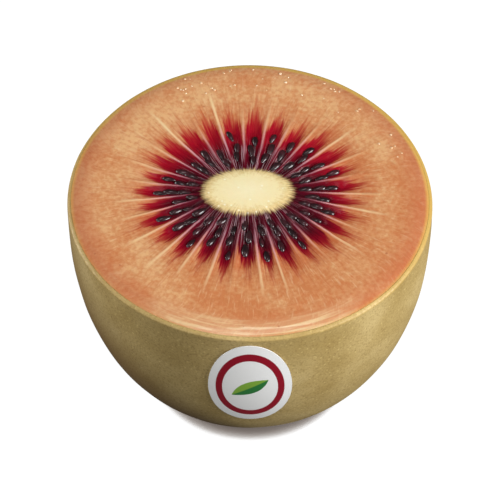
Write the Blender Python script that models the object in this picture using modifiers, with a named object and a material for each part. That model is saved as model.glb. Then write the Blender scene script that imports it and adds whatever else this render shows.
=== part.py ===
"""Half of a red kiwi fruit, cut across its middle and standing on its end, with an oval paper label.

Metres, +Z up. The fruit's axis is the Z axis, and the origin is on the surface that the fruit stands on.
"""

import math
import random

import bmesh
import bpy
from mathutils import Matrix, Vector

# The whole fruit before it was cut: a blunt ended barrel, not quite round in section.
EQUATOR_R = 0.023
HALF_LENGTH = 1.40 * EQUATOR_R
BLUNTNESS = 2.4
CUT_ABOVE_EQUATOR = 0.06 * EQUATOR_R
UNEVEN = 0.005
WIDEST_TURN = 0.7
THREE_SIDED = 0.5

# The end that it stands on: a level ring round the dried crater where the flower was.
FOOT_R = 0.0062
CRATER_R = 0.0043
CRATER_DEPTH = 0.0011
CRATER_FLOOR_R = 0.0030
BUTTON_R = 0.0021
BUTTON_TOP_R = 0.0017
BUTTON_RISE = 0.0006

# The cut face. Without a unit, a length here is a share of the cut's radius.
CORE_LONG = 0.255
CORE_SHORT = 0.165
CORE_SHARE = math.sqrt(CORE_LONG * CORE_SHORT)
CORE_SHIFT = (-0.012, 0.030)
ROUND_FROM = 0.85
POCKETS_END = 0.62
LIP_WIDTH = 0.0024
LIP_DROP = 0.0007

# Relief of the cut face: the core stands up, each pocket is a groove, and the flesh round them swells.
CORE_RISE = 0.00022
CORE_CROWN = 0.00012
CORE_EDGE = 0.86 * CORE_SHARE
CORE_FOOT = 1.05 * CORE_SHARE
GROOVE_DEPTH = 0.00040
GROOVE_DEEP_FROM = 1.5 * CORE_SHARE
GROOVE_DEEP_TO = 0.75 * POCKETS_END
GROOVE_END = 1.05 * POCKETS_END
SWELL_RISE = 0.00020
SWELL_FROM = 0.8 * POCKETS_END
SWELL_FULL = 0.80
SWELL_FALLS = 0.85

# Seed pockets are the wedges between the thin walls that run out from the core.
POCKETS = 28
POCKET_UNEVEN = 0.16
COLUMNS_PER_POCKET = 3
COLUMNS = POCKETS * COLUMNS_PER_POCKET

# Seeds, two or three to a pocket in a slight zigzag, with their narrow ends towards the core.
SEED_LENGTH = 0.00205
SEED_WIDTH = 0.00088
SEED_TAPER = 0.5
SEED_SUNK = 0.00003
SEED_FIRST = 0.262
SEED_STEP = 0.078
SEED_STRAY = 0.014
SEED_ZIGZAG = 0.08
SEED_STRAY_ACROSS = 0.08
SEED_TURN = math.radians(14)
SEED_SIZES = (0.80, 1.10)
SEED_COUNTS = (2, 3, 3, 3)
SEED_SIDES = 6
SEED_RINGS = 4

# Rings of the mesh, from the middle of the cut out and down to the foot.
CORE_RINGS = 2
POCKET_RINGS = 8
FLESH_RINGS = 4
LIP_RINGS = 3
SKIN_RINGS = 12

# The oval label on the front, with its middle this far below the cut.
LABEL_WIDTH = 0.0105
LABEL_HEIGHT = 0.0178
LABEL_BELOW_CUT = 0.0103
LABEL_THICK = 0.00025
LABEL_GAP = 0.00030
LABEL_RINGS = 5
LABEL_SIDES = 36
FRONT = math.radians(-90)

RANDOM_SEED = 4030
WELD = 1e-5
PLACE_DIGITS = 5
SLOPE_STEP = 1e-4
SHARP_ANGLE = math.radians(40)

# Which finish a face of the fruit takes.
SKIN, FLESH, POCKET, CORE = range(4)


def skin_radius(from_equator):
    """Radius of the whole fruit at this height above its equator."""
    share = min(1.0, abs(from_equator) / HALF_LENGTH)
    return EQUATOR_R * (1 - share**BLUNTNESS) ** (1 / BLUNTNESS)


def skin_height(radius):
    """How far from the equator the fruit has this radius."""
    return HALF_LENGTH * (1 - (radius / EQUATOR_R) ** BLUNTNESS) ** (1 / BLUNTNESS)


EQUATOR_Z = skin_height(FOOT_R)
CUT_Z = EQUATOR_Z + CUT_ABOVE_EQUATOR
CUT_R = skin_radius(CUT_ABOVE_EQUATOR)


def smooth(low, high, value):
    """0 below low, 1 above high and an even ramp between."""
    share = min(1.0, max(0.0, (value - low) / (high - low)))
    return share * share * (3 - 2 * share)


def steps(low, high, count):
    """Evenly spaced values above low, up to and with high."""
    return [low + (high - low) * (i + 1) / count for i in range(count)]


def clear_scene():
    for obj in list(bpy.data.objects):
        bpy.data.objects.remove(obj)


def new_collection(name):
    collection = bpy.data.collections.new(name)
    bpy.context.scene.collection.children.link(collection)
    return collection


def material(name, colour, roughness):
    """A plain Principled finish, with its colour in linear red, green and blue."""
    made = bpy.data.materials.new(name)
    made.use_nodes = True
    made.diffuse_color = (*colour, 1.0)
    shader = made.node_tree.nodes["Principled BSDF"]
    shader.inputs["Base Color"].default_value = (*colour, 1.0)
    shader.inputs["Roughness"].default_value = roughness
    shader.inputs["Metallic"].default_value = 0.0
    return made


def pocket_walls():
    """Angles of the thin walls between the seed pockets, which are unevenly wide."""
    draw = random.Random(RANDOM_SEED)
    widths = [1 + draw.uniform(-POCKET_UNEVEN, POCKET_UNEVEN) for _ in range(POCKETS)]
    turn = 2 * math.pi / sum(widths)
    angles = [0.0]
    for width in widths:
        angles.append(angles[-1] + width * turn)
    return angles


def pocket_angle(walls, pocket, share):
    """The angle at this share of the way across a pocket."""
    return walls[pocket] + (walls[pocket + 1] - walls[pocket]) * share


def face_point(share, angle):
    """A point of the cut. Its rings are oval at the core and round at the skin, and its rays are straight."""
    oval = 1 - min(1.0, max(0.0, (share - CORE_SHARE) / (ROUND_FROM - CORE_SHARE)))
    in_core = min(1.0, share / CORE_SHARE)
    long_way = share + oval * in_core * (CORE_LONG - CORE_SHARE)
    short_way = share + oval * in_core * (CORE_SHORT - CORE_SHARE)
    x = long_way * math.cos(angle) + oval * CORE_SHIFT[0]
    y = short_way * math.sin(angle) + oval * CORE_SHIFT[1]
    return CUT_R * x, CUT_R * y


def face_relief(share, across):
    """Height over the plane of the cut. Across runs from 0 at one wall of a pocket to 1 at the next."""
    core = CORE_RISE * (1 - smooth(CORE_EDGE, CORE_FOOT, share))
    core += CORE_CROWN * (1 - min(1.0, share / CORE_SHARE) ** 2)
    pocket = smooth(CORE_SHARE, GROOVE_DEEP_FROM, share)
    pocket *= 1 - smooth(GROOVE_DEEP_TO, GROOVE_END, share)
    groove = GROOVE_DEPTH * pocket * math.sin(math.pi * across) ** 2
    swell = smooth(SWELL_FROM, SWELL_FULL, share) * (1 - smooth(SWELL_FALLS, 1.0, share))
    return core - groove + SWELL_RISE * swell


def unevenness(angle, height):
    """How far out the skin lies from a true round: a slow swell that turns a little with height."""
    turn = height / HALF_LENGTH
    two_sided = math.cos(2 * angle + WIDEST_TURN + turn)
    three_sided = math.cos(3 * angle + 2 * turn)
    return 1 + UNEVEN * (two_sided + THREE_SIDED * three_sided)


def face_outline():
    """The points of the outline that lie on the cut, from its middle to where the lip begins."""
    flat_end = 1 - LIP_WIDTH / CUT_R
    shares = [0.0]
    shares += steps(0.0, CORE_EDGE, CORE_RINGS)
    shares += [CORE_SHARE]
    shares += steps(CORE_SHARE, POCKETS_END, POCKET_RINGS)
    shares += steps(POCKETS_END, flat_end, FLESH_RINGS)
    return [(share * CUT_R, CUT_Z) for share in shares]


def lip_outline():
    """The rounded lip between the cut and the skin."""
    points = []
    for turn in steps(0.0, math.pi / 2, LIP_RINGS):
        radius = CUT_R - LIP_WIDTH * (1 - math.sin(turn))
        points.append((radius, CUT_Z - LIP_DROP * (1 - math.cos(turn))))
    return points


def skin_outline():
    """The skin from the fruit's equator down to the ring that it stands on."""
    points = []
    for turn in steps(0.0, math.acos((FOOT_R / EQUATOR_R) ** (BLUNTNESS / 2)), SKIN_RINGS):
        radius = EQUATOR_R * math.cos(turn) ** (2 / BLUNTNESS)
        points.append((radius, EQUATOR_Z - skin_height(radius)))
    return points


def crater_outline():
    """The crater in the foot, with a dried button in its middle."""
    return [
        (CRATER_R, 0.0),
        (CRATER_FLOOR_R, CRATER_DEPTH),
        (BUTTON_R, CRATER_DEPTH),
        (BUTTON_TOP_R, CRATER_DEPTH - BUTTON_RISE),
        (0.0, CRATER_DEPTH - BUTTON_RISE),
    ]


def bake_modifiers(obj):
    """Welds what meets, with a modifier because its result is the same each run, and applies them all."""
    weld = obj.modifiers.new("weld", "WELD")
    weld.merge_threshold = WELD
    graph = bpy.context.evaluated_depsgraph_get()
    mesh = bpy.data.meshes.new_from_object(obj.evaluated_get(graph))
    obj.modifiers.clear()
    obj.data = mesh
    shape = bmesh.new()
    shape.from_mesh(mesh)
    bmesh.ops.recalc_face_normals(shape, faces=shape.faces)
    shape.to_mesh(mesh)
    shape.free()


def turned(name, points, count):
    """A mesh object made by turning an outline about the Z axis."""
    mesh = bpy.data.meshes.new(name)
    edges = [(i, i + 1) for i in range(len(points) - 1)]
    mesh.from_pydata([(r, 0.0, z) for r, z in points], edges, [])
    outline = bpy.data.objects.new(name, mesh)
    bpy.context.scene.collection.objects.link(outline)
    screw = outline.modifiers.new("turn", "SCREW")
    screw.steps = count
    screw.render_steps = count
    screw.use_merge_vertices = True
    screw.merge_threshold = WELD
    bake_modifiers(outline)
    return outline


def shape_face(mesh, walls):
    """Moves the turned points: those of the cut take the oval rings, uneven pockets and relief."""
    for vertex in mesh.vertices:
        x, y, z = vertex.co
        radius = math.hypot(x, y)
        column = round(math.atan2(y, x) / (2 * math.pi) * COLUMNS) % COLUMNS
        pocket, step = divmod(column, COLUMNS_PER_POCKET)
        even = 2 * math.pi * column / COLUMNS
        if z > CUT_Z - WELD and radius < CUT_R - WELD:
            share = radius / CUT_R
            across = step / COLUMNS_PER_POCKET
            angle = pocket_angle(walls, pocket, across)
            angle += (even - angle) * smooth(ROUND_FROM, 1.0, share)
            x, y = face_point(share, angle)
            z += face_relief(share, across)
        swell = unevenness(even, z)
        vertex.co = (x * swell, y * swell, z)


def paint_faces(mesh):
    """Gives each face of the turned solid the finish of its zone."""
    for face in mesh.polygons:
        x, y, z = face.center
        core_x = (x / CUT_R - CORE_SHIFT[0]) / CORE_LONG
        core_y = (y / CUT_R - CORE_SHIFT[1]) / CORE_SHORT
        if z < CUT_Z - LIP_DROP:
            face.material_index = SKIN
        elif math.hypot(core_x, core_y) < 1.0:
            face.material_index = CORE
        elif math.hypot(x, y) < POCKETS_END * CUT_R:
            face.material_index = POCKET
        else:
            face.material_index = FLESH


def rounded(place):
    """A place to sort by, without the last digits, in which like places can differ."""
    return tuple(round(value, PLACE_DIGITS) for value in place)


def sort_by_place(shape):
    """Orders a bmesh by where its points and faces lie, because a new sphere's own order can vary."""
    for number, vertex in enumerate(sorted(shape.verts, key=lambda v: rounded(v.co))):
        vertex.index = number
    for number, face in enumerate(sorted(shape.faces, key=lambda f: rounded(f.calc_center_median()))):
        face.index = number
    shape.verts.sort()
    shape.faces.sort()


def seed_mesh(finish):
    """One seed: an egg along X, one unit long."""
    shape = bmesh.new()
    bmesh.ops.create_uvsphere(shape, u_segments=SEED_SIDES, v_segments=SEED_RINGS, radius=0.5)
    sort_by_place(shape)
    bmesh.ops.rotate(shape, verts=shape.verts, matrix=Matrix.Rotation(math.pi / 2, 3, "Y"))
    for vertex in shape.verts:
        taper = 1 + SEED_TAPER * vertex.co.x
        vertex.co.y *= taper
        vertex.co.z *= taper
    mesh = bpy.data.meshes.new("seed")
    shape.to_mesh(mesh)
    shape.free()
    mesh.materials.append(finish)
    return mesh


def seed_places():
    """Where the seeds lie: pocket, share of the radius, way across, turn and size."""
    draw = random.Random(RANDOM_SEED + 1)
    places = []
    for pocket in range(POCKETS):
        start = SEED_FIRST + (0.5 * SEED_STEP if pocket % 2 else 0.0)
        for i in range(draw.choice(SEED_COUNTS)):
            share = start + i * SEED_STEP + draw.uniform(-SEED_STRAY, SEED_STRAY)
            aside = SEED_ZIGZAG if (i + pocket) % 2 else -SEED_ZIGZAG
            across = 0.5 + aside + draw.uniform(-SEED_STRAY_ACROSS, SEED_STRAY_ACROSS)
            turn = draw.uniform(-SEED_TURN, SEED_TURN)
            size = draw.uniform(*SEED_SIZES)
            places.append((pocket, share, across, turn, size))
    return places


def make_seeds(collection, walls, mesh):
    """A seed object at each place, half sunk in its pocket."""
    for number, (pocket, share, across, turn, size) in enumerate(seed_places()):
        x, y = face_point(share, pocket_angle(walls, pocket, across))
        z = CUT_Z + face_relief(share, across) - SEED_SUNK
        seed = bpy.data.objects.new(f"seed_{number:02d}", mesh)
        seed.location = (x, y, z)
        seed.rotation_euler = (0.0, 0.0, math.atan2(y, x) + turn)
        seed.scale = (SEED_LENGTH * size, SEED_WIDTH * size, SEED_WIDTH * size)
        collection.objects.link(seed)


def fuse(obj, collection):
    """Joins a collection's objects to obj in one Boolean union, and removes them."""
    union = obj.modifiers.new("fuse", "BOOLEAN")
    union.operation = "UNION"
    union.operand_type = "COLLECTION"
    union.collection = collection
    union.solver = "EXACT"
    union.material_mode = "TRANSFER"
    bake_modifiers(obj)
    for other in list(collection.objects):
        bpy.data.objects.remove(other)
    bpy.data.collections.remove(collection)


def kiwi_half(collection):
    """The fruit: one solid, with its seeds fused to the cut face."""
    walls = pocket_walls()
    outline = face_outline() + lip_outline() + skin_outline() + crater_outline()
    fruit = turned("kiwi_half", outline, COLUMNS)
    finishes = {
        SKIN: material("kiwi_skin", (0.39, 0.30, 0.11), 0.6),
        FLESH: material("kiwi_flesh", (0.65, 0.29, 0.12), 0.35),
        POCKET: material("kiwi_pocket", (0.25, 0.01, 0.015), 0.3),
        CORE: material("kiwi_core", (0.87, 0.75, 0.42), 0.4),
    }
    for index in sorted(finishes):
        fruit.data.materials.append(finishes[index])
    shape_face(fruit.data, walls)
    paint_faces(fruit.data)
    seeds = new_collection("seeds")
    make_seeds(seeds, walls, seed_mesh(material("kiwi_seed", (0.02, 0.01, 0.01), 0.25)))
    fuse(fruit, seeds)
    fruit.data.shade_smooth()
    fruit.data.set_sharp_from_angle(angle=SHARP_ANGLE)
    bpy.context.scene.collection.objects.unlink(fruit)
    collection.objects.link(fruit)


def skin_place(sideways, below_cut, proud):
    """A point this far outside the skin, sideways round the fruit from its front and down from the cut."""
    from_equator = CUT_ABOVE_EQUATOR - below_cut
    radius = skin_radius(from_equator)
    slope = skin_radius(from_equator + SLOPE_STEP) - skin_radius(from_equator - SLOPE_STEP)
    slope /= 2 * SLOPE_STEP
    angle = FRONT + sideways / radius
    round_way = Vector((math.cos(angle), math.sin(angle), 0.0))
    height = Vector((0.0, 0.0, EQUATOR_Z + from_equator))
    on_skin = round_way * radius * unevenness(angle, height.z) + height
    outward = (round_way - Vector((0.0, 0.0, slope))).normalized()
    return on_skin + outward * proud


def label(collection):
    """The oval paper label: a round disc of even rings, stretched and bent to the skin just clear of it."""
    spoke = [(share, 0.0) for share in [0.0] + steps(0.0, 1.0, LABEL_RINGS)]
    sticker = turned("label", spoke, LABEL_SIDES)
    mesh = sticker.data
    for vertex in mesh.vertices:
        sideways = 0.5 * LABEL_WIDTH * vertex.co.x
        below_cut = LABEL_BELOW_CUT - 0.5 * LABEL_HEIGHT * vertex.co.y
        vertex.co = skin_place(sideways, below_cut, LABEL_GAP)
    if mesh.polygons[0].normal.y > 0:
        mesh.flip_normals()
    mesh.materials.append(material("label_paper", (0.87, 0.88, 0.88), 0.4))
    mesh.shade_smooth()
    bpy.context.scene.collection.objects.unlink(sticker)
    collection.objects.link(sticker)
    wall = sticker.modifiers.new("thickness", "SOLIDIFY")
    wall.thickness = LABEL_THICK
    wall.offset = 1.0


def main():
    clear_scene()
    collection = new_collection("red_kiwi_half")
    kiwi_half(collection)
    label(collection)


main()
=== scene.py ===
# %% [markdown]
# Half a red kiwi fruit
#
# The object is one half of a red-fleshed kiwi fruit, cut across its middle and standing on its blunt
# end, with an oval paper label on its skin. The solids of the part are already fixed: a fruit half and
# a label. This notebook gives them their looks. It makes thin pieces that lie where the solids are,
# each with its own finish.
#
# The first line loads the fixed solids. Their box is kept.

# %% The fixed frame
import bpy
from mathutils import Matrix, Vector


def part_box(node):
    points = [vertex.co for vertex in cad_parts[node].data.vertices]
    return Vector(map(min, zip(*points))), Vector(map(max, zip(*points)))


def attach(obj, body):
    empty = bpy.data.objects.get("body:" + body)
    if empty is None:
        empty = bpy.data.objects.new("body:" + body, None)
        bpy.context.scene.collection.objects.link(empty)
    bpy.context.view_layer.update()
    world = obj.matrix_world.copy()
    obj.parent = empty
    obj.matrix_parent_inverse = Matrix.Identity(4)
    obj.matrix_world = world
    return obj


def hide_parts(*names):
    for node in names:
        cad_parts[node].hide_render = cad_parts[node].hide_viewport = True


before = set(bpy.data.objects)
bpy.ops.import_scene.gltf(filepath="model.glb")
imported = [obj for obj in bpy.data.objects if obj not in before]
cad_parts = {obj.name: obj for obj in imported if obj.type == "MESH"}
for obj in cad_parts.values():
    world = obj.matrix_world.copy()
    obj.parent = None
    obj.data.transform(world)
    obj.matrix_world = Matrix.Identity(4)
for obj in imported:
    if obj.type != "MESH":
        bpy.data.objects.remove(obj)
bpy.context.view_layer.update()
print("solids:", sorted(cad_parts))

# %% The modules
import math
import random

import bmesh
import bpy
from mathutils import Matrix, Vector, noise
from mathutils.kdtree import KDTree

# %% [markdown]
# Colours and shader nodes
#
# A colour read from a fruit on a screen is an sRGB value, and Blender's sockets want linear light. One
# function turns the first into the second. A second function adds a shader node: it takes the node's
# own settings and then its inputs, each of which is a plain value or the node or socket that feeds it.
# Every finish below is built with these two, so that it reads as a list of what feeds what. The
# settings that many nodes share have short names. The numbers of a finish stand at the top of its cell,
# where a range says from which value to which, and what comes out at either end.

# %% Colour and node helpers
MM = 1000.0
TIMES = {"operation": "MULTIPLY"}
TIMES_PLUS = {"operation": "MULTIPLY_ADD"}
PLUS = {"operation": "ADD"}
MINUS = {"operation": "SUBTRACT"}
SOFT_STEP = {"interpolation_type": "SMOOTHSTEP"}
COLOURS = {"data_type": "RGBA"}


def tone(code):
    """An sRGB hex colour as linear red, green, blue and alpha."""
    parts = [int(code[i : i + 2], 16) / 255 for i in (0, 2, 4)]
    linear = [p / 12.92 if p <= 0.04045 else ((p + 0.055) / 1.055) ** 2.4 for p in parts]
    return (*linear, 1.0)


def add(tree, kind, settings=None, inputs=None, stops=()):
    """A new node with its settings, its inputs by name or number and, on a colour ramp, its stops."""
    made = tree.nodes.new(kind)
    for name, value in (settings or {}).items():
        setattr(made, name, value)
    free = [socket for socket in made.inputs if socket.enabled]
    for key, value in (inputs or {}).items():
        socket = free[key] if isinstance(key, int) else next(s for s in free if s.name == key)
        if isinstance(value, bpy.types.Node):
            value = next(output for output in value.outputs if output.enabled)
        if isinstance(value, bpy.types.NodeSocket):
            tree.links.new(value, socket)
        else:
            socket.default_value = value
    if stops:
        made.color_ramp.elements.remove(made.color_ramp.elements[1])
    for number, (position, code) in enumerate(stops):
        ramp = made.color_ramp.elements
        stop = ramp.new(position) if number else ramp[0]
        stop.position = position
        stop.color = tone(code)
    return made


def new_finish(name):
    """A material with a plain Principled shader: the material, its node tree and the shader."""
    made = bpy.data.materials.new(name)
    made.use_nodes = True
    return made, made.node_tree, made.node_tree.nodes["Principled BSDF"]


print("flesh tone in linear light:", [round(part, 3) for part in tone("d39468")])

# %% [markdown]
# The fruit's own sizes
#
# A kiwi fruit is a barrel with blunt ends. A superellipse gives that outline from three numbers: the
# radius at the equator, the half length, and a power for the bluntness, where 2 is an egg and more is
# squarer. This fruit was cut just past its equator. The same numbers shaped the solids, and the line
# printed below compares them. Lengths are in metres unless a name ends in MM, and a share is a part of
# the cut's radius.

# %% Outline of the fruit
EQUATOR_R = 0.023
HALF_LENGTH = 1.40 * EQUATOR_R
BLUNTNESS = 2.4
CUT_ABOVE_EQUATOR = 0.06 * EQUATOR_R
UNEVEN = 0.005
WIDEST_TURN = 0.7
THREE_SIDED = 0.5
FOOT_R = 0.0062
LIP_WIDTH = 0.0024
LIP_DROP = 0.0007
WELD = 1e-6


def skin_radius(from_equator):
    """Radius of the whole fruit at this height above its equator."""
    share = min(1.0, abs(from_equator) / HALF_LENGTH)
    return EQUATOR_R * (1 - share**BLUNTNESS) ** (1 / BLUNTNESS)


def skin_height(radius):
    """How far from the equator the fruit has this radius."""
    return HALF_LENGTH * (1 - (radius / EQUATOR_R) ** BLUNTNESS) ** (1 / BLUNTNESS)


def unevenness(angle, height):
    """How far out the skin lies from a true round: a slow swell that turns a little with height."""
    turn = height / HALF_LENGTH
    two_sided = math.cos(2 * angle + WIDEST_TURN + turn)
    three_sided = math.cos(3 * angle + 2 * turn)
    return 1 + UNEVEN * (two_sided + THREE_SIDED * three_sided)


EQUATOR_Z = skin_height(FOOT_R)
CUT_Z = EQUATOR_Z + CUT_ABOVE_EQUATOR
CUT_R = skin_radius(CUT_ABOVE_EQUATOR)
solid_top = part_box("kiwi_half")[1][2]
print("cut at", round(CUT_Z * MM, 2), "mm, top of the solid at", round(solid_top * MM, 2), "mm")

# %% [markdown]
# The pattern of the cut
#
# Cut across, a kiwi shows a pale oval core and, round it, wedge shaped pockets with two or three seeds
# in each. Thin walls part the pockets and run out into the flesh. The pockets aren't all as wide as
# each other. The rings of the pattern are oval at the core and round at the skin, and a ray between
# them is straight. So a point of the cut is given by its share of the way out and by its angle, and one
# function turns that pair into a place. Relief is a second function of the same pair: the core stands a
# little proud, each pocket is a groove, and the flesh round the pockets swells, as it does when a ripe
# fruit is cut.

# %% Places and heights on the cut
CORE_LONG = 0.255
CORE_SHORT = 0.165
CORE_SHARE = math.sqrt(CORE_LONG * CORE_SHORT)
CORE_SHIFT = (-0.012, 0.030)
ROUND_FROM = 0.85
POCKETS_END = 0.62
POCKETS = 28
POCKET_UNEVEN = 0.16
RANDOM_SEED = 4030

CORE_RISE = 0.00022
CORE_CROWN = 0.00012
CORE_EDGE = 0.86 * CORE_SHARE
CORE_FOOT = 1.05 * CORE_SHARE
GROOVE_DEPTH = 0.00040
GROOVE_DEEP_FROM = 1.5 * CORE_SHARE
GROOVE_DEEP_TO = 0.75 * POCKETS_END
GROOVE_END = 1.05 * POCKETS_END
SWELL_RISE = 0.00020
SWELL_FROM = 0.8 * POCKETS_END
SWELL_FULL = 0.80
SWELL_FALLS = 0.85


def smooth(low, high, value):
    """0 below low, 1 above high and an eased ramp between."""
    share = min(1.0, max(0.0, (value - low) / (high - low)))
    return share * share * (3 - 2 * share)


def pocket_walls():
    """Angles of the thin walls between the seed pockets, which are unevenly wide."""
    draw = random.Random(RANDOM_SEED)
    widths = [1 + draw.uniform(-POCKET_UNEVEN, POCKET_UNEVEN) for _ in range(POCKETS)]
    turn = 2 * math.pi / sum(widths)
    angles = [0.0]
    for width in widths:
        angles.append(angles[-1] + width * turn)
    return angles


WALLS = pocket_walls()


def pocket_angle(pocket, across):
    """The angle at this share of the way across a pocket."""
    return WALLS[pocket] + (WALLS[pocket + 1] - WALLS[pocket]) * across


def face_point(share, angle):
    """A point of the cut. Its rings are oval at the core and round at the skin, its rays straight."""
    oval = 1 - min(1.0, max(0.0, (share - CORE_SHARE) / (ROUND_FROM - CORE_SHARE)))
    in_core = min(1.0, share / CORE_SHARE)
    long_way = share + oval * in_core * (CORE_LONG - CORE_SHARE)
    short_way = share + oval * in_core * (CORE_SHORT - CORE_SHARE)
    x = long_way * math.cos(angle) + oval * CORE_SHIFT[0]
    y = short_way * math.sin(angle) + oval * CORE_SHIFT[1]
    return CUT_R * x, CUT_R * y


def face_relief(share, across):
    """Height over the plane of the cut. Across runs from 0 at one wall of a pocket to 1 at the next."""
    core = CORE_RISE * (1 - smooth(CORE_EDGE, CORE_FOOT, share))
    core += CORE_CROWN * (1 - min(1.0, share / CORE_SHARE) ** 2)
    pocket = smooth(CORE_SHARE, GROOVE_DEEP_FROM, share)
    pocket *= 1 - smooth(GROOVE_DEEP_TO, GROOVE_END, share)
    groove = GROOVE_DEPTH * pocket * math.sin(math.pi * across) ** 2
    swell = smooth(SWELL_FROM, SWELL_FULL, share) * (1 - smooth(SWELL_FALLS, 1.0, share))
    return core - groove + SWELL_RISE * swell


def lip_fall(radius):
    """How far the rounded lip has fallen at this radius."""
    inside = min(1.0, max(0.0, (radius - CUT_R + LIP_WIDTH) / LIP_WIDTH))
    return LIP_DROP * (1 - math.sqrt(1 - inside * inside))


print(POCKETS, "pockets, the first", round(math.degrees(WALLS[1]), 1), "degrees wide")

# %% [markdown]
# Spinning an outline and finishing a piece
#
# Skin and flesh are turned shapes. Bmesh can start from a chain of vertices and spin it about the axis,
# and a weld then closes the poles, where the outline touches the axis. Every piece ends the same way:
# its bmesh goes into a mesh at the origin, takes its material, stands for its solid and rides on the
# part's one body.

# %% Helpers for meshes
SHARP_ANGLE = math.radians(50)


def steps(low, high, count):
    """Evenly spaced values above low, up to and with high."""
    return [low + (high - low) * (i + 1) / count for i in range(count)]


def spun(outline, columns):
    """A bmesh made by spinning an outline of radius and height about the Z axis."""
    shape = bmesh.new()
    chain = [shape.verts.new((radius, 0.0, height)) for radius, height in outline]
    edges = [shape.edges.new(pair) for pair in zip(chain, chain[1:])]
    bmesh.ops.spin(
        shape,
        geom=chain + edges,
        cent=(0.0, 0.0, 0.0),
        axis=(0.0, 0.0, 1.0),
        angle=2 * math.pi,
        steps=columns,
        use_merge=True,
    )
    bmesh.ops.remove_doubles(shape, verts=shape.verts, dist=WELD)
    bmesh.ops.recalc_face_normals(shape, faces=shape.faces)
    return shape


def swollen(x, y, z, angle):
    """A point of a turned shape, moved to the fruit's uneven section."""
    scale = unevenness(angle, z)
    return Vector((x * scale, y * scale, z))


def finish_piece(name, shape, finish, solid):
    """An object at the origin from a finished bmesh, standing for a solid and riding on the body."""
    mesh = bpy.data.meshes.new(name)
    shape.to_mesh(mesh)
    shape.free()
    mesh.materials.append(finish)
    mesh.shade_smooth()
    mesh.set_sharp_from_angle(angle=SHARP_ANGLE)
    made = bpy.data.objects.new(name, mesh)
    bpy.context.scene.collection.objects.link(made)
    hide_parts(solid)
    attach(made, "root")
    print(name, "has", sum(len(face.vertices) - 2 for face in mesh.polygons), "triangles")
    return made


# %% [markdown]
# The skin
#
# The skin of a red kiwi is thin, nearly hairless and olive gold. On the cut it shows as a golden line
# round the flesh. It could be painted on the flesh, but a real edge catches the light, so it is a shell
# of its own: an open surface, spun from the lip down to the dried crater, with its thickness added
# inwards by a Solidify modifier. A slow noise moves the surface by less than a tenth of a millimetre,
# because a fruit is never quite fair.

# %% Skin shape
SKIN_THICK = 0.00045
SKIN_COLUMNS = 192
CRATER_R = 0.0043
CRATER_DEPTH = 0.0011
CRATER_FLOOR_R = 0.0030
DENT = 0.00008
DENT_SPAN = 0.006
DENTS_FULL_FROM = 0.004
EDGE_RINGS = 9
SIDE_RINGS = 3
BARREL_RINGS = 44
FOOT_RINGS = 3
CRATER_RINGS = 8
FLOOR_RINGS = 3


def skin_outline():
    """The skin from its cut edge over the lip, down to the foot and into the crater."""
    edge = CUT_R - SKIN_THICK
    points = []
    for turn in [0.0] + steps(0.0, math.pi / 2, EDGE_RINGS):
        radius = edge + SKIN_THICK * math.sin(turn)
        points.append((radius, CUT_Z - lip_fall(radius)))
    for above in steps(CUT_ABOVE_EQUATOR - LIP_DROP, 0.0, SIDE_RINGS):
        points.append((skin_radius(above), EQUATOR_Z + above))
    foot_turn = math.acos((FOOT_R / EQUATOR_R) ** (BLUNTNESS / 2))
    for turn in steps(0.0, foot_turn, BARREL_RINGS):
        radius = EQUATOR_R * math.cos(turn) ** (2 / BLUNTNESS)
        points.append((radius, EQUATOR_Z - skin_height(radius)))
    points += [(radius, 0.0) for radius in steps(FOOT_R, CRATER_R, FOOT_RINGS)]
    for share in steps(0.0, 1.0, CRATER_RINGS):
        eased = smooth(0.0, 1.0, share)
        points.append((CRATER_R + (CRATER_FLOOR_R - CRATER_R) * share, CRATER_DEPTH * eased))
    points += [(CRATER_FLOOR_R * (1 - share), CRATER_DEPTH) for share in steps(0.0, 1.0, FLOOR_RINGS)]
    return points


skin_shape = spun(skin_outline(), SKIN_COLUMNS)
for vertex in skin_shape.verts:
    x, y, z = vertex.co
    dent = DENT * abs(noise.noise(vertex.co / DENT_SPAN)) * smooth(0.0, DENTS_FULL_FROM, z)
    dent *= 1 - smooth(EQUATOR_Z, CUT_Z, z)
    inwards = vertex.normal * dent
    vertex.co = swollen(x, y, z, math.atan2(y, x)) - inwards
print("skin outline of", len(skin_outline()), "points, spun in", SKIN_COLUMNS, "columns")

# %% [markdown]
# Finish of the skin
#
# Fruit skin is a waxy cuticle over thin cork: half matt, with a low soft gloss. Its colour is an olive
# gold that wanders slowly, with fine paler specks under a millimetre apart and a finer brown grain
# between them. The cut edge has painted light: it is mixed more golden for the light that comes through
# from the wet flesh, and more so at the back and the right. Towards the foot the skin turns brown and is
# darkened further by painted shade, which reaches higher on the left. The specks are points of a Voronoi
# pattern in millimetres, read from Object coordinates, so they stay put.

# %% Skin finish
SPECK_SPACING_MM = 0.68
GRAIN_MM = 0.27
BLOTCH_MM = 7.0
SKIN_TONES = [(0.30, "a98f56"), (0.50, "b89f66"), (0.72, "c8b078")]
SPECK_FADE = {"From Min": 0.08, "From Max": 0.28, "To Min": 0.50, "To Max": 0.0}
SPECK_TONE = "ddc583"
GRAIN_SPREAD = {"From Min": 0.48, "From Max": 0.76, "To Min": 0.0, "To Max": 0.65}
GRAIN_TONE = "84693a"

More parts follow.
